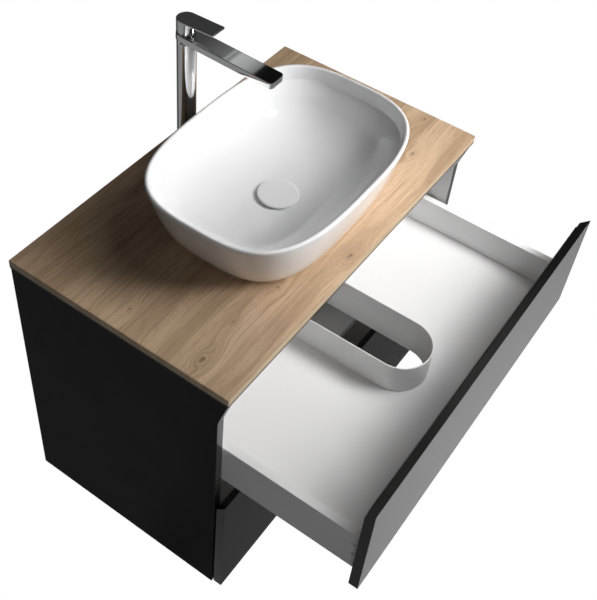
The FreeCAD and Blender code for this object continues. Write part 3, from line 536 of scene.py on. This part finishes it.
def skin(name, rings, paint, body, close_start=False, close_end=False, wrap=False):
    """A smooth surface through rings of points that all have the same count."""
    count = len(rings[0])
    points = [p for ring in rings for p in ring]
    faces = []
    last = len(rings) if wrap else len(rings) - 1
    for r in range(last):
        a, b = r * count, ((r + 1) % len(rings)) * count
        for i in range(count):
            j = (i + 1) % count
            faces.append((a + i, a + j, b + j, b + i))
    if close_start:
        faces.append(tuple(reversed(range(count))))
    if close_end:
        faces.append(tuple((len(rings) - 1) * count + i for i in range(count)))
    mesh = bpy.data.meshes.new(name)
    mesh.from_pydata(points, [], faces)
    mesh.materials.append(paint)
    tidy = bmesh.new()
    tidy.from_mesh(mesh)
    bmesh.ops.recalc_face_normals(tidy, faces=tidy.faces)
    tidy.to_mesh(mesh)
    tidy.free()
    for polygon in mesh.polygons:
        polygon.use_smooth = True
    obj = bpy.data.objects.new(name, mesh)
    scene.collection.objects.link(obj)
    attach(obj, body)
    return obj


def smooth_path(points, per_step=6):
    """Points along a smooth curve through the given (distance, height) points."""
    ends = [points[0]] + list(points) + [points[-1]]
    path = []
    for k in range(1, len(ends) - 2):
        p0, p1, p2, p3 = ends[k - 1:k + 3]
        for i in range(per_step):
            t = i / per_step
            path.append(tuple(0.5 * (2 * b + (c - a) * t + (2 * a - 5 * b + 4 * c - d) * t * t
                                     + (3 * b - a - 3 * c + d) * t ** 3)
                              for a, b, c, d in zip(p0, p1, p2, p3)))
    path.append(points[-1])
    return path


glaze = finish("white glaze", (0.88, 0.88, 0.88), (0.86, 0.86, 0.862), 0.10, 0.05, grain=260.0, patch=6.0,
               relief=0.06, depth=0.00008, specular=0.5, coat=0.6, coat_roughness=0.03)
wall = 0.0075
rim_round = 0.0036
outer_heights = [0.0015, 0.003, 0.006, 0.010, 0.015, 0.022, 0.030, 0.040, 0.052, 0.066, 0.080, 0.094, 0.106,
                 0.114, rim_height - rim_round]
sealant, foot_ledge, foot_tuck = 0.0015, 0.014, 0.003
rings = [basin_outline(*[h - foot_ledge for h in foot_half], top_level + sealant)]
for height in outer_heights:
    half_x, half_y = flare(height)
    tuck = foot_tuck * max(0.0, 1 - (height - sealant) / 0.006) ** 2
    rings.append(basin_outline(half_x - tuck, half_y - tuck, top_level + height))
for k in range(1, 9):
    angle = math.pi * k / 9
    half_x, half_y = flare(rim_height - rim_round)
    inward = wall / 2 * (1 - math.cos(angle))
    rings.append(basin_outline(half_x - inward, half_y - inward,
                               top_level + rim_height - rim_round + rim_round * math.sin(angle)))
# Height above the worktop, and how far inside the rim's outer edge the bowl is there.
bowl = [(rim_height - rim_round, 0.0082), (0.1120, 0.0092), (0.1020, 0.0105), (0.0985, 0.0112),
        (0.0965, 0.0122), (0.0945, 0.0140), (0.0880, 0.0192), (0.0760, 0.0285), (0.0620, 0.0382),
        (0.0510, 0.0485), (0.0420, 0.0600), (0.0330, 0.0755), (0.0260, 0.0920), (0.0205, 0.1110),
        (0.0170, 0.1260), (0.0155, 0.1370)]
for height, inward in smooth_path(bowl, 5):
    rings.append(basin_outline(rim_half[0] - inward, rim_half[1] - inward, top_level + height))
dish_height, dish_inward = bowl[-1]
edge_x, edge_y = rim_half[0] - dish_inward, rim_half[1] - dish_inward
for k in range(1, 8):
    share = k / 8
    level = top_level + dish_height - 0.0015 * share
    inner = circle(0.0262, level)
    outer = basin_outline(edge_x, edge_y, level)
    rings.append([tuple(a + (b - a) * share for a, b in zip(p, q)) for p, q in zip(outer, inner)])
for radius, height in ((0.0240, 0.0136), (0.0228, 0.0120), (0.0226, sealant)):
    rings.append(circle(radius, top_level + height))
basin = skin("basin_ware", rings, glaze, "cabinet", wrap=True)
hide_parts("basin")

# A bead of white silicone seals the basin's foot to the worktop.
silicone = finish("silicone", (0.78, 0.78, 0.77), (0.73, 0.73, 0.72), 0.35, 0.1, relief=0.2)
dress("basin_sealant", silicone, 0.0004)


# ---- Waste and cap ---------------------------------------------------------------------
# A chromed brass waste is drawn down through the basin and the worktop by a locknut, over a
# rubber washer. A white domed cap on a plunger closes it, and rises a little when it is pushed.
chrome = finish("chrome", (0.88, 0.885, 0.89), (0.84, 0.845, 0.85), 0.035, 0.03, grain=300.0, patch=14.0,
                relief=0.02, depth=0.00003, metallic=1.0)
brass = finish("brass", (0.78, 0.60, 0.30), (0.66, 0.48, 0.22), 0.32, 0.15, grain=600.0, patch=30.0,
               relief=0.25, metallic=1.0)
rubber = finish("black rubber", (0.020, 0.020, 0.020), (0.013, 0.013, 0.013), 0.75, 0.1, relief=0.3)
dress("waste_body", chrome, 0.0003)
dress("waste_washer", rubber, 0.0004)
dress("waste_locknut", brass, 0.0005)
dress("waste_plunger", chrome, 0.0003)

cap_under = top_level + 0.0169
cap_radius = 0.038
cap_profile = [(0.0, 0.0), (0.030, 0.0), (0.0355, 0.0001), (0.0370, 0.0007), (0.0378, 0.0017),
               (cap_radius, 0.0027), (0.0378, 0.0037), (0.0372, 0.0044), (0.0360, 0.0049), (0.0335, 0.0052),
               (0.0280, 0.0055), (0.0180, 0.0058), (0.0080, 0.00597), (0.0, 0.0060)]
rings = [circle(max(r, 0.0002), cap_under + z, count=96) for r, z in cap_profile]
cap = skin("waste_cap_dome", rings, glaze, "waste_cover", close_start=True, close_end=True)
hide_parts("waste_cap")


# ---- Bottle trap -----------------------------------------------------------------------
# A moulded white plastic trap hangs under the waste. Its cup unscrews for cleaning, slip
# nuts clamp its pipes, and its outlet pipe runs straight back into the wall.
white_plastic = finish("white plastic", (0.74, 0.74, 0.735), (0.69, 0.69, 0.685), 0.36, 0.1, grain=1300.0,
                       relief=0.2, worn=(0.80, 0.80, 0.80), wear=0.3)
for name in ("trap_inlet_tube", "trap_body", "trap_cup", "trap_outlet_tube", "trap_slip_nuts"):
    dress(name, white_plastic, 0.0005)


# ---- Tap -------------------------------------------------------------------------------
# A tall single-lever mixer of polished chromed brass: a round column with a flat spout that
# is round at the back, held to the worktop by a threaded shank, washer and nut.
tap_y = -0.055
head = top_level + 0.270
column_foot = top_level + 0.0015
spout_slope = math.radians(1.8)
spout_half, spout_reach, spout_thick, tip_round = 0.0185, 0.191, 0.0125, 0.007


def arc(centre_x, centre_y, radius, start, end, steps):
    return [(centre_x + radius * math.cos(math.radians(start + (end - start) * i / steps)),
             centre_y + radius * math.sin(math.radians(start + (end - start) * i / steps)))
            for i in range(steps + 1)]


def run(start, end, steps):
    """Points of a straight edge, without its two ends."""
    return [tuple(a + (b - a) * i / steps for a, b in zip(start, end)) for i in range(1, steps)]


def plate(outline, thick, rounding, steps=4):
    """Rings of a flat plate with rounded edges, from its underside to its top face at level 0."""
    count = len(outline)
    normals = []
    for i in range(count):
        ax, ay = outline[i - 1]
        bx, by = outline[(i + 1) % count]
        length = math.hypot(bx - ax, by - ay)
        normals.append(((by - ay) / length, -(bx - ax) / length))

    def ring(inset, z):
        return [(x - nx * inset, y - ny * inset, z) for (x, y), (nx, ny) in zip(outline, normals)]

    inside = rounding + 0.0004
    rings = [ring(inside, -thick)]
    for k in range(steps + 1):
        angle = math.pi / 2 * k / steps
        rings.append(ring(rounding * (1 - math.sin(angle)), -thick + rounding * (1 - math.cos(angle))))
    for k in range(steps + 1):
        angle = math.pi / 2 * k / steps
        rings.append(ring(rounding * (1 - math.cos(angle)), -rounding * (1 - math.sin(angle))))
    rings.append(ring(inside, 0.0))
    return rings


def laid(rings, slope, centre_y, level):
    """Tilts rings about X, and puts their origin at the tap's axis."""
    c, s = math.cos(slope), math.sin(slope)
    return [[(x, centre_y + y * c - z * s, level + y * s + z * c) for x, y, z in ring] for ring in rings]


def tongue(half, tip_half, reach, corner, side_steps, corner_steps):
    """Outline of a plate, round at the back and squared with small corners at its tip."""
    outline = arc(0, 0, half, 0, 180, 48)
    outline += run((-half, 0.0), (-tip_half, -reach + corner), side_steps)
    outline += arc(-tip_half + corner, -reach + corner, corner, 180, 270, corner_steps)
    outline += run((-tip_half + corner, -reach), (tip_half - corner, -reach), 6)
    outline += arc(tip_half - corner, -reach + corner, corner, 270, 360, corner_steps)
    outline += run((tip_half, -reach + corner), (half, 0.0), side_steps)
    return outline


spout_outline = tongue(spout_half, spout_half, spout_reach, tip_round, 24, 12)
spout_rings = laid(plate(spout_outline, spout_thick, 0.0008), spout_slope, tap_y, head)
spout = skin("tap_spout", spout_rings, chrome, "cabinet", close_start=True, close_end=True)

column_radius = 0.0175
column_profile = [(0.0140, 0.0), (0.0174, 0.0), (column_radius, 0.0006)]
column_profile += [(column_radius, 0.01 * k) for k in range(1, 26)] + [(column_radius, 0.2640)]
rings = [circle(r, column_foot + z, 0.0, tap_y, 96) for r, z in column_profile]
column = skin("tap_column", rings, chrome, "cabinet", close_start=True, close_end=True)
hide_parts("tap_body")

grey_plastic = finish("grey plastic", (0.30, 0.30, 0.31), (0.25, 0.25, 0.26), 0.45, 0.1, relief=0.25)
for name in ("tap_aerator", "tap_base_ring", "tap_cartridge_nut"):
    dress(name, chrome, 0.0003)
dress("tap_gasket", rubber, 0.0003)
for name in ("tap_shank", "tap_locknut", "tap_inlet_block"):
    dress(name, brass, 0.0004)
dress("tap_clamp_washer", zinc, 0.0003)
dress("tap_cartridge", grey_plastic, 0.0004)
dress("tap_cartridge_rotor", grey_plastic, 0.0003)


# ---- Tap lever -------------------------------------------------------------------------
# The lever is one chromed casting: a flat handle, round at the back, over a short skirt that
# is cut on a slope so it can tip. It sits on the cartridge's stem and a small screw holds it.
lever_half, lever_reach, lever_thick = 0.018, 0.068, 0.004
skirt_top = top_level + 0.298 - lever_thick
lever_rise = math.radians(2.0)
lever_outline = tongue(lever_half, lever_half - 0.001, lever_reach, 0.0025, 16, 8)
plate_rings = plate(lever_outline, lever_thick, 0.0009)
rear_level = skirt_top + lever_thick + (lever_half + 0.002) * math.tan(lever_rise)
lever_rings = [[(x, tap_y + y, rear_level - y * math.tan(lever_rise) + z) for x, y, z in ring]
               for ring in plate_rings]
lever = skin("tap_lever_handle", lever_rings, chrome, "tap_handle", close_start=True, close_end=True)

skirt_bore, skirt_half = 0.0156, 0.020
skirt_front, skirt_rear = head + 0.0020, head + 0.0055


def skirt_ring(radius, level=None, lift=0.0):
    """A circle of the skirt at one level, or along its sloping lower edge."""
    ring = []
    for x, y, _ in circle(radius, 0.0, 0.0, 0.0, 96):
        slope = (skirt_rear - skirt_front) / (2 * skirt_half)
        z = skirt_front + (y + skirt_half) * slope + lift if level is None else level
        ring.append((x, tap_y + y, z))
    return ring


rings = [skirt_ring(skirt_bore, skirt_top), skirt_ring(skirt_bore), skirt_ring(lever_half - 0.0005),
         skirt_ring(lever_half - 0.0001, lift=0.0002), skirt_ring(lever_half, lift=0.0006)]
rings += [skirt_ring(lever_half, head + 0.008 + 0.003 * k) for k in range(6)]
rings.append(skirt_ring(lever_half, skirt_top + 0.002))
skirt = skin("tap_lever_skirt", rings, chrome, "tap_handle")
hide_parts("tap_lever")
steel = finish("bright steel", (0.66, 0.67, 0.68), (0.56, 0.57, 0.58), 0.28, 0.12, grain=500.0, patch=25.0,
               relief=0.2, metallic=1.0)
dress("tap_stem", brass, 0.0002)
dress("tap_lever_screw", steel, 0.0001)


# ---- Drawer fronts ---------------------------------------------------------------------
# 18 mm boards in glossy black lacquer. Their whole upper edge is cut at 45 degrees as a
# grip. Two fixings at each end clamp them to the drawer sides.
black_lacquer = finish("black lacquer", (0.012, 0.012, 0.0125), (0.009, 0.009, 0.0095), 0.17, 0.05,
                       grain=180.0, patch=5.0, relief=0.03, depth=0.00004, worn=(0.05, 0.05, 0.052),
                       wear=0.6, specular=0.75, coat=0.5, coat_roughness=0.12)
black_edge = finish("black grip edge", (0.0135, 0.0135, 0.014), (0.010, 0.010, 0.0105), 0.5, 0.1,
                    grain=1800.0, relief=0.25, worn=(0.09, 0.09, 0.092), wear=0.8, specular=0.25)
for name in ("upper_front", "lower_front"):
    front = dress(name, black_lacquer, 0.0005, 3)
    front.data.materials.append(black_edge)
    for polygon in front.data.polygons:
        if polygon.normal.z > 0.5:
            polygon.material_index = 1


# ---- Drawer boxes ----------------------------------------------------------------------
# Sides, floor and back are boards in satin white lacquer, glued and dowelled together. The
# sides are slotted near their front ends for the fixings of the drawer front.
drawer_white = finish("satin white lacquer", (0.85, 0.85, 0.85), (0.83, 0.83, 0.832), 0.38, 0.08,
                      grain=1600.0, patch=7.0, relief=0.12, worn=(0.86, 0.86, 0.86), wear=0.4, specular=0.45)
for drawer in ("upper", "lower"):
    for board in ("side_left", "side_right", "floor", "back"):
        dress(drawer + "_" + board, drawer_white, 0.0005)


# ---- Siphon collar ---------------------------------------------------------------------
# A thin white plastic wall stands round the cut-out that clears the bottle trap, open to the
# back. It is bent from one strip, has a rounded top edge, and is glued into the cut-out.
collar_paint = finish("collar plastic", (0.80, 0.80, 0.80), (0.77, 0.77, 0.772), 0.34, 0.08, grain=1300.0,
                      relief=0.12, specular=0.5)
dress("siphon_collar", collar_paint, 0.0009, 3)


# ---- Grip strips and front fixings ------------------------------------------------------
# A thin anodised strip is let in along the inner edge of each grip. Zinc fixings sit in the
# drawer sides' slots and hold the fronts.
anodised = finish("anodised strip", (0.55, 0.55, 0.56), (0.48, 0.48, 0.49), 0.3, 0.1, grain=1500.0,
                  relief=0.2, metallic=1.0)
for drawer in ("upper", "lower"):
    dress(drawer + "_grip_strip", anodised, 0.0003)
    dress(drawer + "_front_fixings", zinc, 0.0003)


# ---- Runners ---------------------------------------------------------------------------
# Rolled galvanised steel: an angle screwed to each side panel, a channel that travels half
# as far as the drawer, and a profile screwed under the drawer's floor.
runner_steel = finish("galvanised steel", (0.58, 0.59, 0.60), (0.45, 0.46, 0.47), 0.36, 0.2, grain=400.0,
                      patch=60.0, relief=0.25, metallic=1.0, worn=(0.7, 0.7, 0.71))
for name in ("runner_cabinet_members", "upper_runner_drawer", "upper_runner_middle",
             "lower_runner_drawer", "lower_runner_middle"):
    dress(name, runner_steel, 0.0003)
